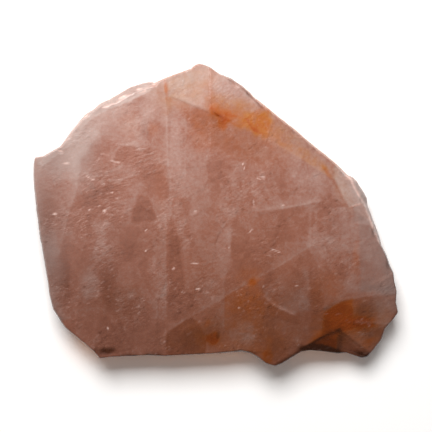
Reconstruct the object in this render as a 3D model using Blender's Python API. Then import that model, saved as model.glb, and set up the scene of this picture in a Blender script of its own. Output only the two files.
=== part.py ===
"""Rose quartz slice: one flat slab of rough rose quartz, lying on its sawn underside.

The slab is a loft of closed rings. Every ring follows the broken outline seen from above, drawn in
towards the middle: at the top by the width of the broken bevel, at the foot by the undercut. Flat
breaks, shallow ledges, rounded bites and small pits are then cut out of it.

Metres, +Z up. The origin is on the underside, in the middle of the outline's box.
"""

import math

import bmesh
import bpy
import numpy as np
from mathutils import Matrix, Vector

MM = 0.001
THICKNESS = 14.0 * MM
STATION_SPACING = 2.7 * MM  # along the outline, on its longer straight stretches

# The widest outline, seen from above, in millimetres, clockwise from the left corner.
OUTLINE_MM = (
    (-72.0, 22.6), (-68.6, 23.2), (-65.0, 25.4), (-62.0, 27.1), (-59.5, 30.9), (-54.0, 37.9),
    (-52.0, 40.1), (-49.0, 41.9), (-46.0, 44.6), (-42.5, 46.2), (-38.5, 48.6), (-34.5, 50.9),
    (-30.5, 52.2), (-27.0, 53.1), (-24.5, 52.7), (-22.0, 53.7), (-17.5, 55.7), (-10.0, 58.2),
    (-8.5, 59.6), (-6.8, 60.3), (-5.0, 59.9), (-2.5, 58.9), (1.5, 56.1), (6.0, 54.4),
    (9.5, 52.1), (13.5, 48.9), (15.0, 47.1), (20.0, 43.2), (24.5, 39.4), (33.5, 32.4),
    (38.0, 28.4), (46.0, 22.1), (49.5, 18.9), (52.7, 15.7), (54.7, 14.9), (56.5, 13.1),
    (60.4, 6.6), (60.6, 3.4), (62.5, -1.1), (65.3, -9.1), (66.0, -12.1), (68.0, -16.1),
    (69.5, -20.6), (70.8, -23.1), (71.2, -27.1), (72.0, -30.6), (71.7, -35.1), (72.6, -39.1),
    (70.5, -42.1), (67.5, -45.6), (66.0, -50.1), (63.0, -54.1), (60.5, -56.9), (58.3, -57.4),
    (54.5, -56.1), (52.0, -55.3), (49.0, -55.6), (42.0, -54.6), (37.5, -54.1), (34.0, -54.6),
    (30.5, -56.6), (26.5, -59.1), (23.5, -60.3), (20.0, -59.3), (16.5, -56.6), (13.5, -55.1),
    (10.0, -54.4), (5.5, -54.9), (-10.5, -55.6), (-20.5, -56.1), (-26.5, -55.7), (-33.5, -56.1),
    (-41.5, -56.4), (-46.0, -56.9), (-48.5, -54.1), (-59.5, -45.1), (-62.0, -41.6), (-64.5, -37.6),
    (-66.0, -32.1), (-68.0, -19.1), (-70.2, -7.1), (-72.2, 9.9), (-72.6, 15.9), (-72.4, 20.4),
)

# Round the slab, by heading in degrees from +X: the bevel's width at the top and the undercut at
# the foot, both in millimetres, and how high up the wall the widest outline lies, as a share.
EDGE_STATIONS = (
    (-180.0, 1.4, 3.0, 0.80), (-150.0, 0.8, 3.5, 0.85), (-129.0, 0.4, 3.0, 0.90),
    (-92.0, 0.5, 3.5, 0.86), (-80.0, 1.0, 3.8, 0.84), (-66.0, 0.6, 4.0, 0.82),
    (-52.0, 0.6, 1.8, 0.34), (-38.0, 0.8, 2.2, 0.42), (-22.0, 0.9, 2.8, 0.60),
    (-6.0, 1.8, 2.4, 0.56), (8.0, 2.4, 2.0, 0.50), (22.0, 1.6, 2.0, 0.52),
    (50.0, 1.3, 1.8, 0.56), (80.0, 1.2, 1.5, 0.56), (96.0, 0.9, 1.3, 0.56),
    (113.0, 1.0, 1.5, 0.58), (117.0, 3.2, 1.5, 0.46), (132.0, 3.8, 1.6, 0.46),
    (137.0, 1.7, 1.8, 0.54), (150.0, 1.2, 2.0, 0.62), (162.0, 0.9, 2.6, 0.74),
    (180.0, 1.4, 3.0, 0.80),
)
SHARES_BELOW_WIDEST = (0.0, 0.22, 0.5, 0.78)  # of the way from the foot up to the widest outline
SHARES_ABOVE_WIDEST = (0.0, 0.35, 0.7, 1.0)  # of the way from there up to the top
WALL_ROUGHNESS = 0.55 * MM

# Flat breaks and ledges. Each is a pocket shut in by planes, and each plane is a point on it, its
# depth there below the top, the heading it falls towards and its slope in degrees.
POCKETS = {
    "top_wedge": (
        (-10.4, 44.2, 0.0, 68.2, 8.0),
        (-2.0, 50.0, 0.0, 178.0, 70.0),
    ),
    "upper_right_slope": (
        (24.0, 26.8, 0.0, 61.0, 4.5),
    ),
    "right_facet": (
        (48.6, 9.4, 0.0, 26.6, 9.0),
        (54.0, 3.0, 0.0, 100.0, 40.0),
        (45.0, 18.6, 0.0, -58.0, 30.0),
    ),
    "right_lower_facet": (
        (53.8, -0.5, 0.0, 4.0, 6.0),
        (57.4, -4.0, 0.0, 84.0, 35.0),
    ),
    "corner_shelf": (
        (60.0, -32.2, 0.0, -82.3, 10.0),
        (46.0, -35.0, 0.0, -60.0, 15.0),
        (42.2, -40.0, 0.0, -6.0, 18.0),
    ),
    "corner_drop": (
        (59.0, -42.6, 2.0, -86.0, 20.0),
        (47.4, -45.0, 2.0, 35.0, 60.0),
    ),
    "corner_cliff": (
        (48.4, -45.4, 2.3, -110.0, 40.0),
        (48.4, -45.4, 2.3, -52.5, 38.0),
    ),
    "long_seam": (
        (-19.2, 26.0, 0.0, -2.0, 40.0),
        (-9.0, 26.0, 0.0, 176.0, 1.3),
        (-19.0, 46.0, 0.0, -88.0, 4.0),
        (-16.0, 6.0, 0.0, 98.0, 12.0),
    ),
    "lower_ledge": (
        (25.0, -36.2, 0.0, 55.2, 45.0),
        (34.0, -23.0, 0.0, -118.0, 1.1),
        (17.0, -29.0, 0.0, -20.0, 2.5),
        (30.8, -40.0, 0.0, 150.0, 4.0),
    ),
}

# Rounded bites out of the rim and small pits in the face: x, y, radius and depth below the top.
BITES_MM = (
    (-60.5, 32.5, 6.0, 1.2), (-53.0, 41.5, 5.0, 1.8), (-44.5, 47.0, 5.5, 2.6),
    (-35.5, 52.0, 6.0, 2.8), (-27.5, 53.4, 4.0, 2.2), (8.5, 54.0, 6.0, 2.4),
    (15.5, 48.5, 5.0, 2.6), (20.6, 44.2, 4.0, 2.0), (33.5, 34.0, 6.0, 2.0),
    (41.5, 27.5, 5.0, 2.0), (53.0, 17.0, 5.0, 2.2), (60.5, 6.5, 5.0, 2.6),
    (65.5, -7.0, 5.5, 1.8), (71.0, -20.0, 6.0, 1.5), (28.5, -60.0, 5.0, 1.2),
    (-62.5, -43.0, 5.0, 0.9), (-71.5, -5.0, 5.5, 1.0), (-36.0, -58.0, 6.0, 0.8),
)
PITS_MM = (
    (-39.8, 20.6, 5.5, 0.32), (-44.0, 1.4, 5.0, 0.34), (-8.2, 1.2, 4.5, 0.28),
    (-27.6, -6.4, 4.5, 0.26), (18.4, 14.8, 5.5, 0.26), (15.0, 3.6, 5.0, 0.28),
    (-33.4, -31.4, 5.0, 0.26), (21.6, -13.6, 5.5, 0.28), (-7.4, -29.4, 4.5, 0.26),
    (31.8, -28.2, 4.5, 0.26), (-42.6, -45.2, 4.5, 0.26), (-61.4, 24.8, 4.0, 0.32),
)

ROSE_QUARTZ = (0.44, 0.25, 0.20)  # linear colour of the body
ROUGHNESS = 0.42


def clear_scene():
    """Takes away everything that the opened file holds."""
    for obj in list(bpy.data.objects):
        bpy.data.objects.remove(obj, do_unlink=True)


def new_collection(name):
    """A collection in the scene, for the stone or for its cutters."""
    collection = bpy.data.collections.new(name)
    bpy.context.scene.collection.children.link(collection)
    return collection


def stone_material():
    """Cloudy pink quartz, glossy where it broke and never metallic."""
    material = bpy.data.materials.new("rose_quartz")
    material.use_nodes = True
    shader = material.node_tree.nodes["Principled BSDF"]
    shader.inputs["Base Color"].default_value = (*ROSE_QUARTZ, 1.0)
    shader.inputs["Roughness"].default_value = ROUGHNESS
    shader.inputs["Metallic"].default_value = 0.0
    return material


def outline_stations():
    """Points round the widest outline, as an array of x, y in metres, with long runs divided."""
    corners = np.array(OUTLINE_MM) * MM
    stations = []
    for start, end in zip(corners, np.roll(corners, -1, axis=0)):
        parts = max(1, round(float(np.linalg.norm(end - start)) / STATION_SPACING))
        stations += [start + (end - start) * share / parts for share in range(parts)]
    return np.array(stations)


def wall_roughness(heading, height_share):
    """How far the broken wall is dished in at each station: waves round the slab and up it."""
    flutes = np.sin(17 * heading + 5.0 * height_share) * np.sin(41 * heading - 3.0 * height_share)
    steps = np.sin(29 * heading + 9.0 * height_share + 1.3)
    return WALL_ROUGHNESS * (1.0 + 0.6 * flutes + 0.4 * steps)


def wall_rings(stations):
    """The wall's rings from the foot to the top, each an array of x, y, z in metres."""
    heading = np.arctan2(stations[:, 1], stations[:, 0])
    reach = np.linalg.norm(stations, axis=1)
    table = np.array(EDGE_STATIONS)
    bevel, undercut, widest = (
        np.interp(np.degrees(heading), table[:, 0], table[:, column]) for column in (1, 2, 3)
    )
    rings = []
    for share in SHARES_BELOW_WIDEST:
        drawn_in = undercut * MM * (1.0 - share) ** 1.5
        drawn_in += wall_roughness(heading, share) * (1.0 - share) * (0.3 + share)
        rings.append((drawn_in, THICKNESS * widest * share))
    for share in SHARES_ABOVE_WIDEST:
        drawn_in = bevel * MM * share**1.7
        rings.append((drawn_in, THICKNESS * (widest + (1.0 - widest) * share)))
    return [
        np.column_stack((stations * (1.0 - drawn_in / reach)[:, None], np.broadcast_to(z, reach.shape)))
        for drawn_in, z in rings
    ]


def loft(name, rings, collection, material):
    """A closed solid through rings that hold the same number of points each."""
    mesh = bmesh.new()
    loops = [[mesh.verts.new(point) for point in ring] for ring in rings]
    for lower, upper in zip(loops, loops[1:]):
        for i, corner in enumerate(lower):
            mesh.faces.new((corner, lower[i - 1], upper[i - 1], upper[i]))
    mesh.faces.new(loops[0])
    mesh.faces.new(loops[-1])
    bmesh.ops.recalc_face_normals(mesh, faces=mesh.faces)
    data = bpy.data.meshes.new(name)
    mesh.to_mesh(data)
    mesh.free()
    data.materials.append(material)
    obj = bpy.data.objects.new(name, data)
    collection.objects.link(obj)
    return obj


def new_cutter(name, mesh, collection):
    """A cutter object from a bmesh, drawn as wire and left out of renders."""
    data = bpy.data.meshes.new(name)
    bmesh.ops.recalc_face_normals(mesh, faces=mesh.faces)
    mesh.to_mesh(data)
    mesh.free()
    obj = bpy.data.objects.new(name, data)
    obj.hide_render = True
    obj.display_type = "WIRE"
    collection.objects.link(obj)
    return obj


def pocket_cutter(name, planes, collection):
    """A block standing over the whole slab, trimmed from below by the pocket's planes."""
    mesh = bmesh.new()
    block = Matrix.Translation((0.0, 0.0, THICKNESS)) @ Matrix.Diagonal((0.3, 0.3, 0.03, 1.0))
    bmesh.ops.create_cube(mesh, size=1.0, matrix=block)
    for x, y, depth, heading, slope in planes:
        fall = math.tan(math.radians(slope))
        along = math.radians(heading)
        upward = Vector((fall * math.cos(along), fall * math.sin(along), 1.0)).normalized()
        trimmed = bmesh.ops.bisect_plane(
            mesh,
            geom=mesh.verts[:] + mesh.edges[:] + mesh.faces[:],
            plane_co=(x * MM, y * MM, THICKNESS - depth * MM),
            plane_no=upward,
            clear_inner=True,
        )
        rim = [item for item in trimmed["geom_cut"] if isinstance(item, bmesh.types.BMEdge)]
        bmesh.ops.contextual_create(mesh, geom=rim)
    return new_cutter(name, mesh, collection)


def ball_cutter(name, x, y, radius, depth, collection):
    """A ball that dips to the given depth below the top at its own place."""
    mesh = bmesh.new()
    centre = Vector((x * MM, y * MM, THICKNESS + (radius - depth) * MM))
    bmesh.ops.create_icosphere(
        mesh, subdivisions=3, radius=radius * MM, matrix=Matrix.Translation(centre)
    )
    return new_cutter(name, mesh, collection)


def cut(obj, cutter):
    """Takes a cutter's shape out of the object."""
    modifier = obj.modifiers.new(cutter.name, "BOOLEAN")
    modifier.object = cutter
    modifier.operation = "DIFFERENCE"
    modifier.solver = "EXACT"


def main():
    clear_scene()
    stone = new_collection("rose_quartz_slice")
    cutters = new_collection("cutters")
    cutters.hide_render = True
    slab = loft("slab", wall_rings(outline_stations()), stone, stone_material())
    for name, planes in POCKETS.items():
        cut(slab, pocket_cutter(f"cut_{name}", planes, cutters))
    for i, bite in enumerate(BITES_MM):
        cut(slab, ball_cutter(f"cut_bite_{i}", *bite, cutters))
    for i, pit in enumerate(PITS_MM):
        cut(slab, ball_cutter(f"cut_pit_{i}", *pit, cutters))


main()
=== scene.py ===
"""Rose quartz slice: the finished look of one flat slab of rough, cloudy pink quartz.

The stone is one closed surface. Its large face is a square net bent into the slab's outline, its
broken wall is a stack of rings, and its sawn underside closes the foot. Flat breaks, bites, pits and
a fine grain lower the face. The markings are densities, worked out for every point of the stone and
read by its finish.

Lengths in the tables are in millimetres. Scene units are metres, +Z up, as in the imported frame.
"""

from __future__ import annotations

import itertools
import logging
import math
from dataclasses import dataclass
from enum import Enum

import bpy
import numpy as np
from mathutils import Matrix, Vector


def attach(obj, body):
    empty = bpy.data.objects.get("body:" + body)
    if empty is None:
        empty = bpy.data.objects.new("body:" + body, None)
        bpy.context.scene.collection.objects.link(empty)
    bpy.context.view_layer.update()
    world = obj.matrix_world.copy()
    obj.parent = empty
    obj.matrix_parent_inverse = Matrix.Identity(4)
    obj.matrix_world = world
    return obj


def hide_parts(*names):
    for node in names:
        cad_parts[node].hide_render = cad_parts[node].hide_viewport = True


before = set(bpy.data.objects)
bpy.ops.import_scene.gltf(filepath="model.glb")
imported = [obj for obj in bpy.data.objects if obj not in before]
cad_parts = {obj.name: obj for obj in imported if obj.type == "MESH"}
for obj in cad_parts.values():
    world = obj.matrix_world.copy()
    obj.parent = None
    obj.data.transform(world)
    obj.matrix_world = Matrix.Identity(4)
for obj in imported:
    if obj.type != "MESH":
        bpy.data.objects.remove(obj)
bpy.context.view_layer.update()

MM = 0.001
SLAB_NODE = "slab"
LOG = logging.getLogger("rose_quartz_slice")

Pair = tuple[float, float]
Colour = tuple[float, float, float, float]

# Half sides of a box a little wider than the slab, seen from above.
HALF_SPAN_MM = (74, 62)

# The widest outline, seen from above, clockwise from the left corner.
OUTLINE_MM = (
    (-72, 22.6), (-68.6, 23.2), (-65, 25.4), (-62, 27.1), (-59.5, 30.9), (-54, 37.9), (-52, 40.1),
    (-49, 41.9), (-46, 44.6), (-42.5, 46.2), (-38.5, 48.6), (-34.5, 50.9), (-30.5, 52.2), (-27, 53.1),
    (-24.5, 52.7), (-22, 53.7), (-17.5, 55.7), (-10, 58.2), (-8.5, 59.6), (-6.8, 60.3), (-5, 59.9),
    (-2.5, 58.9), (1.5, 56.1), (6, 54.4), (9.5, 52.1), (13.5, 48.9), (15, 47.1), (20, 43.2),
    (24.5, 39.4), (33.5, 32.4), (38, 28.4), (46, 22.1), (49.5, 18.9), (52.7, 15.7), (54.7, 14.9),
    (56.5, 13.1), (60.4, 6.6), (60.6, 3.4), (62.5, -1.1), (65.3, -9.1), (66, -12.1), (68, -16.1),
    (69.5, -20.6), (70.8, -23.1), (71.2, -27.1), (72, -30.6), (71.7, -35.1), (72.6, -39.1),
    (70.5, -42.1), (67.5, -45.6), (66, -50.1), (63, -54.1), (60.5, -56.9), (58.3, -57.4), (54.5, -56.1),
    (52, -55.3), (49, -55.6), (42, -54.6), (37.5, -54.1), (34, -54.6), (30.5, -56.6), (26.5, -59.1),
    (23.5, -60.3), (20, -59.3), (16.5, -56.6), (13.5, -55.1), (10, -54.4), (5.5, -54.9), (-10.5, -55.6),
    (-20.5, -56.1), (-26.5, -55.7), (-33.5, -56.1), (-41.5, -56.4), (-46, -56.9), (-48.5, -54.1),
    (-59.5, -45.1), (-62, -41.6), (-64.5, -37.6), (-66, -32.1), (-68, -19.1), (-70.2, -7.1),
    (-72.2, 9.9), (-72.6, 15.9), (-72.4, 20.4),
)

# Round the slab, by heading in degrees from +X: the bevel's width at the top, the undercut at the
# foot, and how high up the wall the widest outline lies, as a share of the thickness.
EDGE_STATIONS = (
    (-180, 1.4, 3, 0.8), (-150, 0.8, 3.5, 0.85), (-129, 0.4, 3, 0.9), (-92, 0.5, 3.5, 0.86),
    (-80, 1, 3.8, 0.84), (-66, 0.6, 4, 0.82), (-52, 0.6, 2.6, 0.56), (-38, 0.8, 2.6, 0.56),
    (-22, 0.9, 2.8, 0.6), (-6, 1.8, 2.4, 0.56), (8, 2.4, 2, 0.5), (22, 1.6, 2, 0.52),
    (50, 1.3, 1.8, 0.56), (80, 1.2, 1.5, 0.56), (96, 0.9, 1.3, 0.56), (113, 1, 1.5, 0.58),
    (117, 3.2, 1.5, 0.46), (132, 3.8, 1.6, 0.46), (137, 1.7, 1.8, 0.54), (150, 1.2, 2, 0.62),
    (162, 0.9, 2.6, 0.74), (180, 1.4, 3, 0.8),
)

# Flat breaks and ledges: planes given by x, y, depth there below the top, the heading that they
# fall towards and their slope in degrees. A break is no deeper than any of its planes.
BREAKS = {
    "top_wedge": ((-10.4, 44.2, 0, 68.2, 5.5), (-2, 50, 0, 178, 60)),
    "upper_right_slope": ((24, 26.8, 0, 61, 4.5),),
    "right_facet": ((48.6, 9.4, 0, 26.6, 9), (54, 3, 0, 100, 40), (45, 18.6, 0, -58, 30)),
    "right_lower_facet": ((53.8, -0.5, 0, 4, 6), (57.4, -4, 0, 84, 12)),
    "corner_shelf": ((60, -32.2, 0, -82.3, 7), (46, -35, 0, -60, 15), (42.2, -40, 0, -6, 18)),
    "corner_drop": ((59, -42.6, 1.25, -86, 11), (47.4, -45, 1.25, 35, 60)),
    "corner_cliff": ((48.4, -45.4, 1.45, -108, 20), (48.4, -45.4, 0.75, -58, 24)),
    "long_seam": (
        (-19.2, 26, 0, -2, 5), (-9, 26, 0, 176, 0.6), (-19, 46, 0, -88, 4), (-16, 6, 0, 98, 12),
    ),
    "lower_ledge": (
        (25, -36.2, 0, 55.2, 45), (34, -23, 0, -118, 1.1), (17, -29, 0, -20, 2.5),
        (30.8, -40, 0, 150, 4),
    ),
}

# Rounded bites out of the rim and shallow pits in the face: x, y, radius, depth below the top.
BITES_MM = (
    (-60.5, 32.5, 6, 1.2), (-53, 41.5, 5, 1.8), (-44.5, 47, 5.5, 2.6), (-35.5, 52, 6, 2.8),
    (-27.5, 53.4, 4, 2.2), (8.5, 54, 6, 2.4), (15.5, 48.5, 5, 2.6), (20.6, 44.2, 4, 2), (33.5, 34, 6, 2),
    (41.5, 27.5, 5, 2), (53, 17, 5, 2.2), (60.5, 6.5, 5, 2.6), (65.5, -7, 5.5, 1.8), (71, -20, 6, 1.5),
    (28.5, -60, 5, 1.2), (-62.5, -43, 5, 0.9), (-71.5, -5, 5.5, 1), (-36, -58, 6, 0.8),
)
PITS_MM = (
    (-39.8, 20.6, 5.5, 0.18), (-44, 1.4, 5, 0.19), (-8.2, 1.2, 4.5, 0.15), (-27.6, -6.4, 4.5, 0.14),
    (18.4, 14.8, 5.5, 0.14), (15, 3.6, 5, 0.15), (-33.4, -31.4, 5, 0.14), (21.6, -13.6, 5.5, 0.15),
    (-7.4, -29.4, 4.5, 0.14), (31.8, -28.2, 4.5, 0.14), (-42.6, -45.2, 4.5, 0.14),
    (-61.4, 24.8, 4, 0.18),
)


class Mark(Enum):
    """The densities that the markings give to every point of the stone.

    Besides the stone's own clouds, stains and bruises, milk carries painted light and sheen, smoke
    painted shade, and bruise painted glints.
    """

    MILK_AND_PAINTED_LIGHT = "milk_and_painted_light"
    IRON = "iron"
    OCHRE = "ochre"
    SMOKE = "smoke_and_painted_shade"
    ASH = "ash"
    BRUISE_AND_GLINT = "bruise_and_glint"
    GRIT = "grit"
    COMB = "comb"


# Soft oval patches: x, y, half length, half width, strength and, where the length leans, its
# heading in degrees. Milk is cloudy above 0 and clear, so deeper in colour, below it. The patches
# are listed by thirds of the slab from the top down, and from left to right in each.
PATCHES = {
    Mark.MILK_AND_PAINTED_LIGHT: (
        # (-58, 27) pales the upper left: partly milky quartz, partly painted sheen of the soft light
        (-58, 27, 14, 8, 0.34, 48), (-56, 20, 8, 8, 0.17), (-52, 24, 7, 12, 0.16, -10),
        (-47, 24.4, 8, 3.4, -0.22, 46), (-44, 42, 10, 6, 0.2, 30), (-34, 40, 18, 8, 0.15, 25),
        (-32, 32, 7, 6, 0.07), (-26.4, 48.4, 4, 3, 0.24), (-25, 41, 4, 6, 0.12),
        (-22, 54, 7, 3.6, 0.34, 20), (-16.2, 24, 2.6, 13, 0.2, 2), (-14, 53, 7, 2.8, 0.4, 24),
        (-9, 50, 11, 7, 0.4, 28), (-6.4, 30, 4.6, 6, -0.14), (-4, 20, 5, 9, -0.06),
        (-4, 37.6, 8.6, 3.4, -0.24, -14), (-4, 57, 9, 4, 0.14, -20), (6, 49, 11, 5, 0.22, -40),
        (7, 27, 4, 5, -0.08, -30), (26, 27, 7, 3.4, 0.1, -40),
        (-65.4, 0, 4.4, 6.6, -0.22, 10), (-64, -16, 2.6, 8, 0.12, 12), (-62, 12, 4, 14, 0.03, -6),
        (-60, 0, 4, 6, -0.12), (-58, -8, 6, 5, -0.1), (-56, 12, 2.6, 12, 0.14, -4),
        (-53.6, -3.6, 4.4, 4.4, -0.16), (-47, -15, 5, 4, 0.08, 30), (-46, -6, 3.2, 6.5, 0.13, -12),
        (-44, 8.4, 13, 3.6, -0.16, 24), (-35.6, -14.6, 4.6, 5.6, -0.16, -20), (-25, -20, 8, 30, -0.05),
        (-24.6, 14, 5, 7.6, -0.16, 10), (-21.6, 0, 2.4, 3.4, -0.1), (-11.6, -14, 3, 8, -0.08),
        (-8, 8, 6, 16, 0.12), (-6.4, -1, 4, 5, 0.1), (-1.4, 1.8, 3.4, 2.4, -0.16),
        (1, 16.6, 4.4, 5.4, -0.16), (2.2, -12, 3.6, 8, 0.1, 4), (4.6, -8, 6, 4, 0.06),
        (6.2, 1, 2.6, 2.6, 0.14), (10.4, -18, 5.8, 6.4, -0.16), (12.6, 6, 3, 5, -0.12),
        (13.6, 14, 3.6, 5, -0.12), (18.6, 14.6, 2.4, 1.6, 0.12), (26.4, -7.6, 7, 3.6, -0.12, 20),
        (36, 14, 7, 6, 0.14), (38, -5, 4, 4, -0.1), (46, 2, 24, 18, 0.1, -60), (50, -4, 5, 4, 0.12),
        (52, -4, 7, 16, 0.06), (55, -17, 4, 3.4, -0.1), (56.4, 9, 6.4, 1.8, 0.34, -58),
        (-59.8, -22, 2.4, 14, -0.22, 4), (-50, -23, 4.4, 4, 0.14), (-49.8, -28, 3.8, 6, 0.34, -8),
        (-47, -44, 6, 4.4, -0.14), (-43, -29, 2.8, 7, -0.18, 8), (-37, -21, 3, 4, -0.08),
        (-33.2, -31.8, 1.6, 1.6, 0.16), (-23.4, -27, 3.6, 15, 0.12), (-3.4, -30, 5, 9, 0.1),
        (11, -47.6, 4.6, 5.6, 0.5), (14, -26, 8, 6, -0.1, 20), (22, -52, 6, 7, -0.16),
        (25, -22, 4.6, 5, -0.14), (29.6, -22.2, 3, 2.4, -0.12), (32, -51, 4, 4, 0.1),
        (32.6, -34, 4.6, 4.4, 0.26), (38, -46, 4, 5, 0.08), (47.6, -22, 5, 5, -0.14),
        (52, -28, 6, 5, 0.1), (59, -49, 4.6, 3.6, 0.14, -40), (60, -29.6, 9, 2.2, 0.16, -4),
        (62, -27.6, 10, 3.6, 0.12, -4), (67.4, -39, 3.6, 7, 0.22), (69, -24, 3.6, 12, 0.14, 12),
    ),
    Mark.IRON: (
        (-34, 35, 4, 6, 0.08), (-25, 33.4, 1.8, 2.6, 0.16), (-19.9, 50, 0.9, 3, 0.3, 8),
        (-6.4, 30, 5, 7, 0.1), (-3.4, 49, 2, 5, 0.16), (1.6, 39, 1.6, 0.7, 0.45, -30),
        (2, 38.2, 5, 3, 0.14, -30), (2, 40.4, 6, 2.6, 0.18, -24), (2.6, 36, 2.2, 2.8, 0.4),
        (7, 39, 5, 3.6, 0.1, -20), (9, 31, 22, 9, 0.24, -22), (17, 35.8, 4.6, 4.2, 0.32),
        (-21.6, 16, 2.6, 30, 0.04, 2), (10, -10, 40, 26, 0.06, -20), (43.6, 16.8, 0.7, 2.8, 0.34, 30),
        (55.2, -17, 1.3, 6, 0.18),
        (-38, -34, 9, 8, 0.07), (-4, -50, 4, 3, 0.1), (-4, -46, 6, 5, 0.1, 30),
        (-3.6, -42.8, 1.3, 1.3, 0.26, 10), (-1.6, -49, 2.4, 1.8, 1), (-1.4, -49, 1.5, 2.6, 0.6, -10),
        (-1.4, -49, 4, 4, 0.22), (-0.4, -48.4, 1.2, 2.2, 0.6, -20), (7.6, -35, 4.6, 4, 0.06),
        (10, -53, 9, 4, 0.14), (12, -41, 8, 10, 0.08), (13, -24, 5, 3, 0.16, 20),
        (14.6, -35, 3, 8, 0.09, 4), (14.8, -26.6, 2.4, 1.5, 0.34, 30), (16, -51, 26, 6, 0.07),
        (16, -42, 24, 14, 0.13), (20, -56.6, 2.6, 2.2, 0.22), (20, -28, 46, 14, 0.05),
        (20.4, -56.2, 2.2, 3.4, 0.3), (20.8, -50, 1.4, 5, 0.1), (22, -54, 7, 7, 0.12),
        (22, -36, 5, 3.4, 0.14, -30), (41, -50, 5.6, 3.4, 0.6, 30), (44, -44, 8, 8, 0.16),
        (44, -29, 7, 6, 0.16), (47.4, -45, 4, 2.2, 0.34), (48.6, -39.8, 4.4, 4.6, 0.26, 12),
        (49, -41, 7, 7, 0.16), (49.4, -42.6, 5.6, 1.8, 0.4), (53, -34.8, 5, 1.8, 0.12),
        (55, -46, 14, 10, 0.18), (55, -42.4, 6, 1.8, 0.34), (58, -43.6, 4.4, 2.6, 0.26, -10),
        (58, -38.4, 5, 4.6, 0.16), (60.6, -50.6, 3, 2, 0.2, 45), (60.6, -42.4, 4.4, 1.8, 0.24, -8),
        (61, -36, 5, 3, -0.14),
    ),
    Mark.OCHRE: (
        (-19.6, 44, 2.2, 6, 0.08, 2), (-12, 50, 12, 8, 0.18, 20), (6, 42, 10, 5, 0.26, -14),
        (11.4, 35.8, 5.2, 2.8, 0.3, -14), (16.8, 35.4, 4.6, 3.4, 0.36, 20), (17.6, 32.2, 3.2, 2.6, 0.34),
        (19.8, 38.4, 2.4, 4, 0.3, -24), (24, 32, 12, 4.6, 0.14, -38), (38, 21.6, 7, 2.6, 0.1, -38),
        (43, 18.2, 1.2, 3.4, 0.2, 30), (50, 9, 3, 8, 0.08, 26),
        (10, -48, 30, 10, 0.05), (60, -43, 11, 9, 0.12),
    ),
    Mark.SMOKE: (
        # (-38, 47.6) darkens the upper left bevel, which faces the key light: painted shade
        (-57, 30, 12, 4, 0.08, 48), (-38, 47.6, 21, 3.4, 0.16, 26), (0.4, 37.6, 3.4, 3, 0.1),
        (6, 31, 18, 6, 0.14, -24),
        (-68, 0, 4, 12, 0.14),
        (-62, -28, 6, 10, 0.08), (-47, -54.6, 3, 1.6, 0.22), (-46, -28, 9, 12, 0.1),
        (-42.8, -54, 3.2, 1.2, 0.45, 4), (-36, -42, 9, 12, 0.05), (-36, -34, 8, 6, 0.12),
        (-9, -50, 9, 5, 0.14, 8), (-2, -46, 6, 5, 0.06), (0.8, -47.6, 0.8, 2, 0.16, -10),
        # (12, -54.6) is painted shade along the lower edge
        (6, -33, 30, 9, 0.01), (12, -54.6, 6, 0.8, 0.2), (20, -30, 34, 9, 0.04),
        (20.8, -56.8, 2.2, 3, 0.1), (24, -44, 30, 12, 0.16), (26, -54, 5, 5, 0.08),
        # at the corner cliff's foot, (39.6, -53.2), (47, -54.6) and (59, -56) are partly its own dark
        # colour, partly painted shade
        (38, -30, 7, 8, 0.08), (39.6, -53.2, 6.4, 1.7, 0.65, -4), (45, -47, 3, 1.6, 0.12, 10),
        (47, -54.6, 5, 1.2, 0.4, -8), (48, -36.6, 5, 3, 0.08), (58.6, -37.6, 4, 4, 0.14),
        (59, -56, 4, 1.6, 0.4, -20), (59.6, -45.4, 5, 3.2, 0.15, -20), (60, -39, 8, 4, 0.06, 4),
        (63, -50, 5, 5, 0.12), (66, -45.4, 2.6, 3.4, 0.16),
    ),
    Mark.COMB: (
        (-28, 24, 5, 4, 0.8), (4, 22, 8, 6, 0.4),
        (-62, 14, 4, 6, 0.5), (-48, 2, 8, 5, 0.7, 10), (-44, -16, 7, 5, 0.6), (-41.5, 10, 9, 6, 1, 20),
        (-36, 1, 7, 4, 0.6, 10), (-14, -12, 4, 9, 0.5), (26, -6, 10, 5, 0.3), (58, -14, 6, 8, 0.5),
        (-46, -30, 5, 5, 0.5), (-17, -24, 3, 8, 0.6), (-4, -22, 8, 8, 0.4), (13, -46, 6, 5, 0.6),
    ),
    Mark.ASH: (
        # (-38, 47.6) greys the upper left bevel: a greyer rim, partly painted shade against the key light
        (-64, 22, 7, 7, 0.16, 40), (-55, 27, 15, 9, 0.26, 44), (-38, 47.6, 21, 3.4, 0.5, 26),
        (-28.2, 34, 1.8, 4.4, 0.16), (-14, 52, 8, 4, 0.34, 24), (34, 29, 14, 3.4, 0.18, -38),
        (-68, -16, 4, 8, 0.1, 8), (-67, 4, 9, 34, 0.26, 8), (-64, -18, 3.6, 12, 0.26, 12),
        (-51, 16, 6, 12, 0.14), (-48, 0, 20, 30, 0.06), (-6, 6, 8, 22, 0.05), (50, -2, 8, 9, 0.1),
        (56.4, 9, 6.4, 1.8, 0.26, -58),
        (59, -50, 5, 3.4, 0.4, -30), (62, -29, 10, 3, 0.2, -4), (67, -36, 6, 7, 0.42),
        (70, -26, 4, 14, 0.2, 14),
    ),
}

# Outlines and lines that more than one marking follows.
FOOT_PANE = (
    (-20.4, -57), (-4, -57), (-3.6, -50), (-6.2, -42.5), (-9.1, -40.7), (-12, -41.3), (-19.8, -46.4),
)
COLUMN_PANE = ((37.3, -47), (42.8, -46), (42.8, -31), (37.3, -28.6))
LEFT_RIM = ((-72.4, 21), (-72.2, 9.9), (-70.2, -7.1), (-68, -19.1), (-66, -32.1), (-62, -41.6))
RIGHT_RIM = ((72.4, -38), (72, -30.6), (70.8, -23.1), (66, -12.1), (62.5, -1.1))
SLOPE_LINE = ((9, 34.6), (18, 31.2), (30, 24.6), (46, 14.4))

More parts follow.
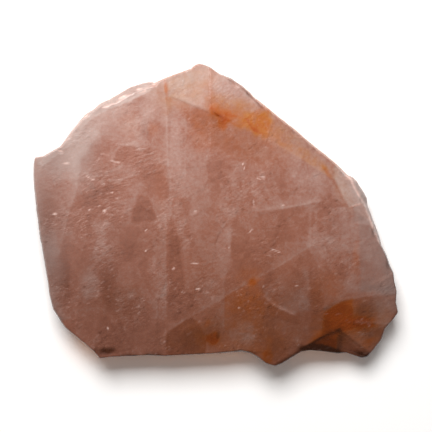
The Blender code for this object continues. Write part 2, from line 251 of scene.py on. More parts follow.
# Flat inner fractures seen face on: a convex outline, anticlockwise, its strength and the width
# over which it fades in.
PANES = {
    Mark.MILK_AND_PAINTED_LIGHT: (
        (((-33.5, -3.5), (-23, -3), (-25.5, 6.5), (-30, 8.5), (-33.5, 1)), -0.26, 1),
        (((-18, -1), (-10, -1), (-10, 7), (-18, 7)), -0.14, 1),
        (((-18.8, -36), (-11.8, -30), (-14.4, -9), (-17, 0), (-18.8, 0)), -0.24, 0.9),
        (FOOT_PANE, -0.45, 0.7),
        (((20, -34), (31, -39.5), (37, -38), (37, -22), (30, -20), (18, -30)), 0.1, 0.8),
        (COLUMN_PANE, -0.16, 0.6),
        (((16, 0.4), (20, -11), (36.6, -11), (36.6, 4), (28, 2.3)), -0.1, 0.6),
        (((39.4, -10), (53.6, -8), (53.6, 2), (50.5, 4.5), (39.4, 4.6)), -0.12, 0.8),
        (((43, 19), (44, 2), (53, 2.4), (50.5, 4.5)), -0.18, 1),
        (((-40, 19), (-31, 19), (-30, 25), (-32, 27.5), (-38, 27.5), (-40, 25)), -0.18, 1),
        (((20.5, 7), (40, 7), (38, 20), (29, 22), (21, 20)), -0.05, 0.8),
        (((-17.8, 46.9), (-3.2, 40.6), (-2, 42), (-2, 62), (-20, 58)), 0.12, 0.5),
    ),
    Mark.IRON: (
        (((34, -54.4), (48, -54), (48.6, -45.2), (40.8, -48.4)), 0.85, 0.8),
        (((41.4, -47.6), (54.5, -46), (54.5, -32.6), (49.3, -33.4), (45.9, -35.9),
          (42.3, -37.4)), 0.41, 1.1),
        (((50, -46.4), (63, -44.6), (63, -41.4), (50, -40.6)), 0.22, 1.2), (FOOT_PANE, 0.1, 0.7),
        (((3.2, -46), (19, -48), (19.6, -31), (15.6, -25.6), (3.2, -32)), 0.13, 0.6),
        (((-20.4, 47), (-9, 34), (9, 34), (-3.2, 40.4), (-17.8, 46.7)), 0.08, 0.5),
        (COLUMN_PANE, 0.05, 0.6),
    ),
    Mark.OCHRE: (
        (((8, 35.6), (17, 31), (20.6, 31), (20.6, 41.6), (16, 42.6), (10, 40)), 0.16, 2.4),
    ),
    Mark.ASH: (
        (((56.4, -31.4), (72, -31), (71, -22), (63, -3), (55.6, 1)), 0.4, 1.4),
    ),
}

# Healed fractures seen edge on. Each is sharp on its line and fades away to the left of the way it
# runs: its points, how far it fades and its strength.
VEILS = {
    Mark.MILK_AND_PAINTED_LIGHT: (
        (((-17.6, 4.6), (-18.8, 21)), 1.2, 0.16), (((-12.4, 8), (-11.8, 38)), 4, 0.14),
        (((-16, 4), (-13.4, -8), (-11, -29.4)), 1.4, 0.05), (((-19.8, -40.2), (-19.8, -0.6)), 4.2, 0.28),
        (((-62, -15.8), (-58.8, -1.4), (-55.2, 9.8), (-53.8, 21.4), (-46.6, 31.6)), 4.4, 0.22),
        (((3, -44.2), (3, -23.8)), 3.6, 0.13), (((3.4, -23.8), (5.4, -20.8), (5.8, -6)), 3, 0.22),
        (((-19.6, -47), (-12.8, -41.8), (3.6, -32.2), (14.4, -25.8)), 1.1, 0.28),
        (((16, -25.2), (26, -19.6), (38.4, -11.6)), 1.1, 0.32), (((38.4, -11.6), (46, -22)), 2, 0.12),
        (((38.4, -10.4), (50, -12), (64, -20)), 2.6, 0.12), (((37.2, -11.8), (37.4, 4.6)), 1.6, 0.14),
        (((53.8, 3), (51, 4), (49.1, 7.8), (45.6, 14.6)), 0.8, -0.2),
        (((15.6, 1.6), (28, 2.8), (40.4, 5.2)), 1.4, 0.25), (((36.8, -38.2), (36.4, -22.2)), 2, 0.18),
        (((19.4, -32.8), (24.6, -36.2), (30.8, -39.2)), 2.4, 0.34),
        (((-33.6, 3), (-29.6, 11.8)), 2, 0.14),
        (((-52.4, 16.4), (-49, 14.8), (-44, 15.4), (-36.4, 19.6)), 0.9, 0.22),
        (((-53.2, 8.4), (-42.4, 11.6), (-32, 15.4)), 2, 0.16), (((-26, 5.8), (-22.4, -2.2)), 2.6, 0.2),
        (((-37.6, 27.8), (-32.4, 27.8), (-29.6, 25)), 2, 0.12),
        (((42.7, -37.4), (45.9, -36.2), (49.3, -34), (54.5, -33.1), (58.6, -32.2),
          (71.3, -31)), 1.2, 0.3),
        (SLOPE_LINE, 2.4, 0.12), (((-18, 46.8), (-10.4, 44), (-3.2, 40.8)), 1, 0.3),
        (((16.6, 42.4), (12, 47), (8.4, 50.6)), 0.6, 0.26),
        (((-19, 20), (-19.6, 40.2), (-20.8, 52)), 1, 0.24),
        # the pale band inside the upper left rim: partly milky quartz, partly painted sheen
        (((-68, 19.6), (-58, 27.6), (-50, 37.4), (-43, 41.8), (-34, 45), (-27, 48.6)), 7, 0.75),
        (LEFT_RIM, 2.2, 0.42), (RIGHT_RIM, 2.6, 0.26),
    ),
    Mark.IRON: (
        (((-3.2, 40.6), (2, 38.2), (9, 34.6)), 2, 0.2), (((20.6, 35), (20.6, 43.6)), 2.4, 0.22),
        (((18.6, 42.6), (14, 39.4), (10.6, 36.4)), 0.8, 0.22),
        (((8, 38.6), (12, 37.6), (14.6, 33.6)), 0.5, 0.24), (((15.4, 33), (19.6, 31)), 0.5, 0.22),
        (((-2.4, 59), (-2.4, 42)), 2.4, 0.22), (((-19.4, 46), (-20.4, 53)), 0.8, 0.14),
        (((42.6, -45), (42.6, -39), (44.4, -37.8)), 1.6, -0.2), (((60, -43.4), (44, -42.6)), 2.6, 0.3),
        (((36.4, -52.4), (44, -48), (48.2, -45.8)), 1, -0.2),
    ),
    Mark.OCHRE: (
        (SLOPE_LINE, 5, 0.12),
    ),
    Mark.ASH: (
        (LEFT_RIM, 2.4, 0.5), (RIGHT_RIM, 2.6, 0.3),
    ),
    Mark.SMOKE: (
        # the corner cliff's dark lines: partly its own dark colour, partly painted shade
        (((61.6, -55.6), (55, -50.6), (48.6, -45.6)), 1.2, 0.34),
        (((48.8, -45.6), (48.6, -54)), 1.4, 0.14), (((48.6, -45.6), (42, -48.4), (35, -52.6)), 0.8, 0.3),
        (((-0.6, 40.2), (0.2, 39.4), (1.4, 38.8)), 0.3, 0.34),
        # painted shade: the rounded wall at the top right, turned away from the light
        (((17.8, 42.6), (13, 47.6), (9, 51.6), (5, 54.6), (0.6, 56.8)), 0.5, 0.4),
        # painted shade along the lower edge, where the wall turns from the light
        (((2, -55.4), (10, -54.8), (13.5, -55.5), (17, -57.2), (19.6, -59.4)), 0.8, 0.36),
        (((-2.4, 59), (-2.4, 44)), 0.5, 0.22), (((-17.8, 46.5), (-10.4, 43.5), (-3.2, 40.2)), 0.4, 0.16),
        # the short lines along the lower edge, at x -27 to -23 and -34 to -32, are painted shade
        (((40.4, 4.6), (28, 2), (17.6, 0.6)), 2, 0.1), (((-27.2, -55.4), (-22.8, -55.6)), 0.6, 0.5),
        (((-34, -55.6), (-32, -55.7)), 0.5, 0.5),
    ),
    # bright lines along crests and edges: white bruised quartz with painted glints
    Mark.BRUISE_AND_GLINT: (
        (((-28.6, 48.4), (-34.6, 46.8), (-39.6, 43.9), (-43.6, 42.2)), 0.3, 0.7),
        (((50.4, 16.6), (53.4, 13.8), (55.2, 9.6), (58.4, 4.8), (59.8, 0.6), (62, -5),
          (64.4, -11)), 0.7, 1),
        (((20.8, -34.2), (25, -36.8), (30, -39)), 0.4, 0.2),
        (((56.2, -42.6), (63.2, -42.8), (68.4, -43.4)), 0.5, 0.1),
        (((13.2, 49.2), (16.2, 45.4), (19.2, 42.2)), 0.7, 0.35),
    ),
}

# Small bright chips where the surface throws the light back, painted white as bruises and painted
# glints: x, y, length, width and, where they lean, the heading in degrees. They are listed from left
# to right.
GLINTS_MM = (
    (-63.6, 0.2, 1.8, 0.6), (-61.4, 25, 2.2, 0.7, -20), (-59, 20, 2.2, 0.5, -12),
    (-58.8, 20.4, 0.9, 0.6), (-51.4, 38.8, 2, 0.5, 45), (-50.2, 14.6, 2.6, 0.4, -30),
    (-50, 1.8, 1.2, 0.6, 30), (-48.4, 13.8, 1.8, 0.4, 6), (-46.2, 3.4, 1.2, 0.4, 40),
    (-44, 1.5, 1.4, 0.8, 20), (-43.2, 42.4, 1.6, 0.9, 20), (-42.6, -45, 0.9, 0.8),
    (-41, 8.6, 2.4, 0.25, 16), (-40.4, 21, 2.6, 0.7, -24), (-38.6, 6.4, 2, 0.25, 8),
    (-38.6, 20.6, 1.8, 0.9, -10), (-37, 46.4, 3.2, 1.2, 24), (-30.4, 49.4, 2.4, 1, 10),
    (-28, 48.8, 1, 1.2), (-27.6, -14.4, 1, 0.5, 40), (-27.6, -6.2, 1, 0.5, 35), (-24.6, 51.6, 1.2, 1.4),
    (-16.8, -21.4, 1, 0.8, 60), (-8.4, -19.4, 3.2, 0.4, 2), (-8.2, 1.2, 1.4, 0.7),
    (-7.2, -29.4, 1.8, 0.4), (5.2, -13, 0.8, 0.5, 50), (9, -36.8, 0.9, 0.5), (10.6, 19.8, 1, 0.6, 60),
    (11.2, 18.2, 1.6, 0.4, 70), (13.6, -6.6, 3, 0.4, 33), (14.8, 4.4, 0.5, 2.6),
    (16.8, 14, 1.6, 0.4, -20), (18.4, 14.8, 2.4, 0.5), (18.8, -28.4, 0.8, 0.5, 20),
    (21.4, -16.4, 1.8, 0.3, -20), (22.4, -13.8, 3.2, 0.4, -26), (24.6, -14.8, 1.6, 0.4, -34),
    (26.4, 3.6, 1.2, 0.5, 20), (31.8, -28.2, 1, 0.6),
)

# What each break adds to the marks of its own ground. Iron is the break's own stain. The milk and
# smoke are painted light and shade, which lighten or darken a break as if the light fell otherwise
# on its slope; on the corner cliff the smoke is partly its own dark colour as well.
BREAK_TINTS_AND_PAINTED_LIGHT = {
    "top_wedge": {Mark.MILK_AND_PAINTED_LIGHT: -0.02},
    "right_facet": {Mark.ASH: 0.08, Mark.MILK_AND_PAINTED_LIGHT: 0.44},
    "right_lower_facet": {Mark.ASH: 0.16, Mark.MILK_AND_PAINTED_LIGHT: 0.24},
    "corner_shelf": {Mark.IRON: 0.1, Mark.SMOKE: 0.03},
    "corner_drop": {Mark.MILK_AND_PAINTED_LIGHT: 0.08, Mark.IRON: 0.13, Mark.SMOKE: -0.02},
    "corner_cliff": {Mark.IRON: 0.08, Mark.MILK_AND_PAINTED_LIGHT: -0.3, Mark.ASH: 0.05, Mark.SMOKE: 0.1},
    "lower_ledge": {Mark.SMOKE: 0.04},
}

# How much of a face mark is left at the foot of the wall.
FOOT_SHARES = {Mark.BRUISE_AND_GLINT: 0.0, Mark.IRON: 0.35, Mark.OCHRE: 0.3, Mark.SMOKE: 0.7}

# What thins a mark out or thickens it: an even part, what the torn texture, the streaks and the
# wisps add to it, and the limits of the whole factor.
TEARS = {
    Mark.IRON: (1.0, 0.5, 0.5, 0.0, (0.5, 1.5)),
    Mark.OCHRE: (1.0, 1.1, 0.5, 0.0, (0.3, 1.6)),
    Mark.BRUISE_AND_GLINT: (0.8, 0.0, 0.0, 1.6, (0.2, 1.4)),
}


def smooth_step(low: float, high: float, value: np.ndarray) -> np.ndarray:
    """The share of the way from low to high, from 0 to 1, eased at both ends: t * t * (3 - 2 t)."""
    share = np.clip((value - low) / (high - low), 0.0, 1.0)
    return share * share * (3.0 - 2.0 * share)


def turned(x: np.ndarray, y: np.ndarray, heading: float) -> tuple[np.ndarray, np.ndarray]:
    """Places along and across a heading h in degrees: x cos h + y sin h and y cos h - x sin h."""
    cosine, sine = math.cos(math.radians(heading)), math.sin(math.radians(heading))
    return x * cosine + y * sine, y * cosine - x * sine


def beside(x: np.ndarray, y: np.ndarray, start: Pair, end: Pair) -> tuple[np.ndarray, np.ndarray]:
    """How far places lie along the line from start to end, and how far to its left."""
    heading = math.degrees(math.atan2(end[1] - start[1], end[0] - start[0]))
    return turned(x - start[0], y - start[1], heading)


def level(x: np.ndarray, y: np.ndarray) -> np.ndarray:
    """Places on the plane z = 0, as rows of x, y, z."""
    return np.column_stack((x, y, np.zeros_like(x)))


class Grain:
    """A repeatable smooth random field in space: gradient noise on a cubic lattice."""

    CELLS = 32  # along each side of the lattice, before it repeats
    STRETCH = 1.6  # brings the field's range to about -1 to 1
    SHIFT = 7.3  # moves each layer, so that their lattices don't line up

    def __init__(self, seed: int) -> None:
        """Draws one unit gradient for each lattice corner, fixed by the seed."""
        drawn = np.random.default_rng(seed).normal(size=(self.CELLS, self.CELLS, self.CELLS, 3))
        self.gradients = drawn / np.linalg.norm(drawn, axis=-1, keepdims=True)

    def at(self, points: np.ndarray) -> np.ndarray:
        """The field at points: each cell's eight corner slopes, blended by 6t^5 - 15t^4 + 10t^3.

        Args:
            points: places in lattice cells, as rows of x, y, z.

        Returns:
            One value a point, from about -1 to 1.
        """
        cell = np.floor(points).astype(int)
        local = points - cell
        ease = local**3 * (local * (local * 6.0 - 15.0) + 10.0)
        total = np.zeros(len(points))
        for offset in itertools.product((0, 1), repeat=3):
            corner = np.array(offset)
            index = (cell + corner) % self.CELLS
            slope = self.gradients[index[:, 0], index[:, 1], index[:, 2]]
            share = np.where(corner == 1, ease, 1.0 - ease).prod(axis=1)
            total += share * ((local - corner) * slope).sum(axis=1)
        return self.STRETCH * total


@dataclass(frozen=True)
class Texture:
    """One random texture of the stone: layers of grain, the coarsest with cells of cell mm."""

    seed: int
    cell: float
    layers: int
    strength: float = 1.0

    def over(self, points_mm: np.ndarray) -> np.ndarray:
        """Layers of grain, each half the size and half the strength of the one before.

        Args:
            points_mm: places as rows of x, y, z in millimetres.

        Returns:
            One value a point, from about -strength to strength.
        """
        grain = Grain(self.seed)
        total = np.zeros(len(points_mm))
        for layer in range(self.layers):
            total += grain.at(points_mm * 2.0**layer / self.cell + grain.SHIFT * layer) * 0.5**layer
        return self.strength * (total / (2.0 - 0.5 ** (self.layers - 1)))


@dataclass(frozen=True)
class Mosaic:
    """The small flats of the broken face: each is the ground nearest to one seed point."""

    seed: int = 6
    flats: int = 260
    upright: float = 1.4  # how much taller than wide the flats are
    warp: Texture = Texture(7, 9.0, 2, 1.3)  # how far their borders wander, in millimetres

    def share_out(self, x: np.ndarray, y: np.ndarray) -> tuple[np.ndarray, np.ndarray]:
        """Finds each place's flat: the least (x - sx)^2 + ((y - sy) / upright)^2, warped a little.

        Args:
            x: places across the slab in millimetres.
            y: places up the slab in millimetres.

        Returns:
            Each place's flat by number, and the places as seen from their flats' seeds.
        """
        far = np.array(HALF_SPAN_MM, float)
        seeds = np.random.default_rng(self.seed).uniform(-far, far, (self.flats, 2))
        warp = self.warp.over(level(x, y))
        nearest = np.zeros(len(x), int)
        least = np.full(len(x), np.inf)
        for number, (sx, sy) in enumerate(seeds):
            gap = (x + warp - sx) ** 2 + ((y - warp - sy) / self.upright) ** 2
            nearest = np.where(gap < least, number, nearest)
            least = np.minimum(gap, least)
        return nearest, np.column_stack((x, y)) - seeds[nearest]


MOSAIC = Mosaic()


@dataclass(frozen=True)
class Break:
    """A flat break or ledge: a pocket shut in by planes."""

    planes: tuple[tuple[float, float, float, float, float], ...]

    def depth(self, x: np.ndarray, y: np.ndarray) -> np.ndarray:
        """How far the break lowers the face: the least of depth + tan(slope) * run, never under 0.

        Args:
            x: places across the slab in millimetres.
            y: places up the slab in millimetres.

        Returns:
            Depths in millimetres.
        """
        depths = []
        for px, py, depth, heading, slope in self.planes:
            run, _ = turned(x - px, y - py, heading)
            depths.append(depth + math.tan(math.radians(slope)) * run)
        return np.clip(np.minimum.reduce(depths), 0.0, None)


@dataclass(frozen=True)
class Bite:
    """A rounded bite or pit: a ball that dips below the face."""

    x: float
    y: float
    radius: float
    deepest: float

    def depth(self, x: np.ndarray, y: np.ndarray) -> np.ndarray:
        """How far the ball lowers the face: sqrt(radius^2 - distance^2) - (radius - deepest)."""
        inside = np.clip(self.radius**2 - (x - self.x) ** 2 - (y - self.y) ** 2, 0.0, None)
        return np.clip(np.sqrt(inside) - (self.radius - self.deepest), 0.0, None)


@dataclass(frozen=True)
class Outline:
    """The slab's widest outline as a reach from its middle for each heading."""

    corners: tuple[Pair, ...] = OUTLINE_MM
    stations: tuple[tuple[float, float, float, float], ...] = EDGE_STATIONS

    def reach(self, heading: np.ndarray) -> np.ndarray:
        """Where a ray from the middle crosses the outline's straight stretches.

        On the stretch from a to b, the ray (cos h, sin h) crosses at cross(a, b) / cross(ray, b - a).

        Args:
            heading: angles in radians.

        Returns:
            Reaches in millimetres.
        """
        start = np.array(self.corners, float)[::-1]
        angles = np.unwrap(np.arctan2(start[:, 1], start[:, 0]))
        end = np.roll(start, -1, axis=0)
        wound = angles[0] + np.mod(heading - angles[0], 2.0 * math.pi)
        stretch = np.clip(np.searchsorted(angles, wound, side="right") - 1, 0, len(start) - 1)
        a, b = start[stretch], end[stretch]
        side = b - a
        area = a[:, 0] * b[:, 1] - a[:, 1] * b[:, 0]
        return area / (np.cos(heading) * side[:, 1] - np.sin(heading) * side[:, 0])

    def edge(self, heading: np.ndarray) -> list[np.ndarray]:
        """The edge's shape round the slab, evenly between the stations.

        Args:
            heading: angles in radians.

        Returns:
            The bevel's width, the undercut (both in millimetres) and the widest line's share.
        """
        degrees = np.degrees(np.mod(heading + math.pi, 2.0 * math.pi) - math.pi)
        station, *columns = np.array(self.stations, float).T
        return [np.interp(degrees, station, column) for column in columns]


@dataclass(frozen=True)
class Patch:
    """A soft-edged oval patch of one marking."""

    x: float
    y: float
    half_length: float
    half_width: float
    strength: float
    heading: float = 0.0

    def density(self, x: np.ndarray, y: np.ndarray) -> np.ndarray:
        """strength * exp(-r^4), where r is the distance measured in the oval's half sizes."""
        along, across = turned(x - self.x, y - self.y, self.heading)
        return self.strength * np.exp(-np.hypot(along / self.half_length, across / self.half_width) ** 4)


@dataclass(frozen=True)
class Pane:
    """A flat inner fracture: a convex outline, anticlockwise, with crisp edges."""

    outline: tuple[Pair, ...]
    strength: float
    edge: float

    def density(self, x: np.ndarray, y: np.ndarray) -> np.ndarray:
        """Full where the least distance to its sides passes the edge's width, and 0 outside it."""
        sides = [beside(x, y, *ends)[1] for ends in zip(self.outline, self.outline[1:] + self.outline[:1])]
        return self.strength * smooth_step(0.0, self.edge, np.minimum.reduce(sides))


@dataclass(frozen=True)
class Veil:
    """A healed fracture seen edge on: sharp along its line, fading away to one side of it."""

    path: tuple[Pair, ...]
    reach: float
    strength: float
    sharp: float = 0.35  # how soon it ends on its right
    tail: float = 1.2  # how soon it ends beyond its last points

    def density(self, x: np.ndarray, y: np.ndarray) -> np.ndarray:
        """Falls as exp(-d / reach) to the left, and as exp(-(d / w)^2) to the right and at the ends.

        The width w is sharp on the right and tail beyond the ends.

        Args:
            x: places across the slab in millimetres.
            y: places up the slab in millimetres.

        Returns:
            One value a place, strongest on the line.
        """
        total = np.zeros_like(x)
        for start, end in itertools.pairwise(self.path):
            along, left = beside(x, y, start, end)
            over = np.clip(np.maximum(-along, along - math.dist(start, end)), 0.0, None)
            fall = np.where(left > 0.0, left / self.reach, (left / self.sharp) ** 2)
            total = np.maximum(total, np.exp(-fall - (over / self.tail) ** 2))
        return self.strength * total


@dataclass(frozen=True)
class Markings:
    """Every marking of the stone, as densities over its surface."""

    glint: float = 0.75  # how bright the chips' painted glints are
    lean: float = 36.0  # heading of the streaks, in degrees
    streak_length: float = 3.2  # how many times longer than wide the streaks are
    fleck_squeeze: float = 1.6  # how many times shorter than streaks the flecks are, for their width
    broad_height: float = 3.0  # how many times taller than wide the broad clouds are
    side_span: Pair = (-62.0, 60.0)  # y of the lower and upper sides in mm: painted shade to painted light
    side_slope: float = 0.06  # how much lower the upper side reaches, a millimetre to the right
    upper_painted_light: float = 0.24  # how much paler the upper side is painted: painted light
    lower_painted_shade: float = 0.50  # how much darker the lower side is painted: painted shade
    rough_edge: Pair = (-0.25, 0.35)  # where the rough texture turns from calm to rough ground
    break_edge: float = 0.15  # how far below the others a break has its full tint and painted light, in mm
    fleck_edge: Pair = (0.28, 0.70)  # where the fleck texture begins a fleck, and where it is full
    # bright flecks are small painted glints; dark flecks are the stone's own specks
    bright_flecks: float = 0.19
    dark_flecks: float = 0.30
    wall_grit: float = 0.7  # how much grittier the foot of the wall is
    apart: tuple[float, float, float] = (40.0, 11.0, 3.0)  # from one reading of a texture to another
    tint_heights: Pair = (1.5, 7.0)  # in mm: between them, the tints and painted light of the breaks come in
    mark_heights: Pair = (2.5, 7.5)  # in millimetres: between them, the marks of the face come in
    tone: float = 0.09  # how far one flat's milk differs from the next
    tone_seed: int = 9
    drift: Texture = Texture(31, 5.0, 3, 1.1)  # how far the patches' edges wander, in millimetres
    tremble: Texture = Texture(31, 2.5, 2, 0.3)  # how far the other marks' edges wander
    broad: Texture = Texture(41, 7.5, 3)
    wisps: Texture = Texture(42, 3.6, 4)
    streaks: Texture = Texture(43, 1.8, 3)
    flecks: Texture = Texture(44, 1.1, 2)
    rough: Texture = Texture(45, 13.0, 2)
    torn: Texture = Texture(46, 2.4, 3)

    def densities(self, points_mm: np.ndarray, cuts: dict[str, np.ndarray]) -> dict[Mark, np.ndarray]:
        """Each marking's density at points of the stone, clouded by the textures.

        Args:
            points_mm: places as rows of x, y, z in millimetres.
            cuts: each break's depth at the same places.

        Returns:
            An array from -1 to 1 for each mark.
        """
        x, y, z = points_mm.T
        loose = x + self.drift.over(points_mm), y + self.drift.over(points_mm + np.array(self.apart))
        close = x + self.tremble.over(points_mm), y
        found = {mark: np.zeros_like(x) for mark in Mark}
        for kind, table, places in ((Patch, PATCHES, loose), (Pane, PANES, close), (Veil, VEILS, close)):
            for mark, rows in table.items():
                found[mark] += sum(kind(*row).density(*places) for row in rows)
        for gx, gy, length, width, *heading in GLINTS_MM:
            chip_and_glint = Patch(gx, gy, 0.5 * length, 0.5 * width, self.glint, *heading)
            found[Mark.BRUISE_AND_GLINT] += chip_and_glint.density(*close)
        shown = smooth_step(*self.tint_heights, z)
        # the breaks' tints, with their painted light and shade
        for name, tints_and_painted_light in BREAK_TINTS_AND_PAINTED_LIGHT.items():
            others = np.maximum.reduce([depth for other, depth in cuts.items() if other != name])
            share = shown * smooth_step(0.0, self.break_edge, cuts[name] - others)
            for mark, strength in tints_and_painted_light.items():
                found[mark] += strength * share
        self.cloud(points_mm, found)
        return {mark: np.clip(density, -1.0, 1.0) for mark, density in found.items()}

    def cloud(self, points_mm: np.ndarray, found: dict[Mark, np.ndarray]) -> None:
        """Breaks the marks up: milky wisps, streaks that lean to the right, and fine flecks.

        The upper side is painted paler and the lower side darker: painted light and shade across the
        slab. The lower side is grittier as well. Down the wall the grit grows, and the marks that belong
        to the face fade away.

        Args:
            points_mm: places as rows of x, y, z in millimetres.
            found: the densities so far, which it changes.
        """
        x, y, z = points_mm.T
        along, across = turned(x, y, self.lean)
        leaning = np.column_stack((along / self.streak_length, across, z))
        broad = self.broad.over(np.column_stack((x, y / self.broad_height, z)))
        rough = smooth_step(*self.rough_edge, self.rough.over(points_mm))
        wisps = self.wisps.over(points_mm) * (0.35 + 0.65 * rough)
        streaks = self.streaks.over(leaning) * (0.3 + 0.7 * rough)
        torn = self.torn.over(points_mm)
        upper = smooth_step(*self.side_span, y + self.side_slope * x)
        low = 1.0 - smooth_step(*self.mark_heights, z)
        number, _ = MOSAIC.share_out(x, y)
        tones = np.random.default_rng(self.tone_seed).uniform(-self.tone, self.tone, MOSAIC.flats)
        # painted light: the upper side is painted paler
        found[Mark.MILK_AND_PAINTED_LIGHT] += self.upper_painted_light * upper - 0.05 + tones[number]
        found[Mark.MILK_AND_PAINTED_LIGHT] += 0.12 * broad + 0.22 * wisps + 0.16 * streaks
        # painted shade: the lower side is painted darker
        found[Mark.SMOKE] += self.lower_painted_shade * (1.0 - upper) ** 1.5 - 0.05 * broad
        found[Mark.GRIT] += (0.22 + 0.50 * rough) * (1.3 - 0.6 * upper) + self.wall_grit * low
        for mark, (even, by_torn, by_streaks, by_wisps, limits) in TEARS.items():
            factor = even + by_torn * torn + by_streaks * streaks + by_wisps * wisps
            found[mark] *= np.clip(factor, *limits)
        for mark, share in FOOT_SHARES.items():
            found[mark] *= 1.0 - (1.0 - share) * low
        flecks = self.flecks.over(leaning * np.array((self.fleck_squeeze, 1.0, 1.0)))
        spread = 0.2 + 0.8 * rough
        # bright flecks: small painted glints
        found[Mark.BRUISE_AND_GLINT] += self.bright_flecks * smooth_step(*self.fleck_edge, flecks) * spread
        found[Mark.SMOKE] += self.dark_flecks * smooth_step(*self.fleck_edge, -flecks) * spread


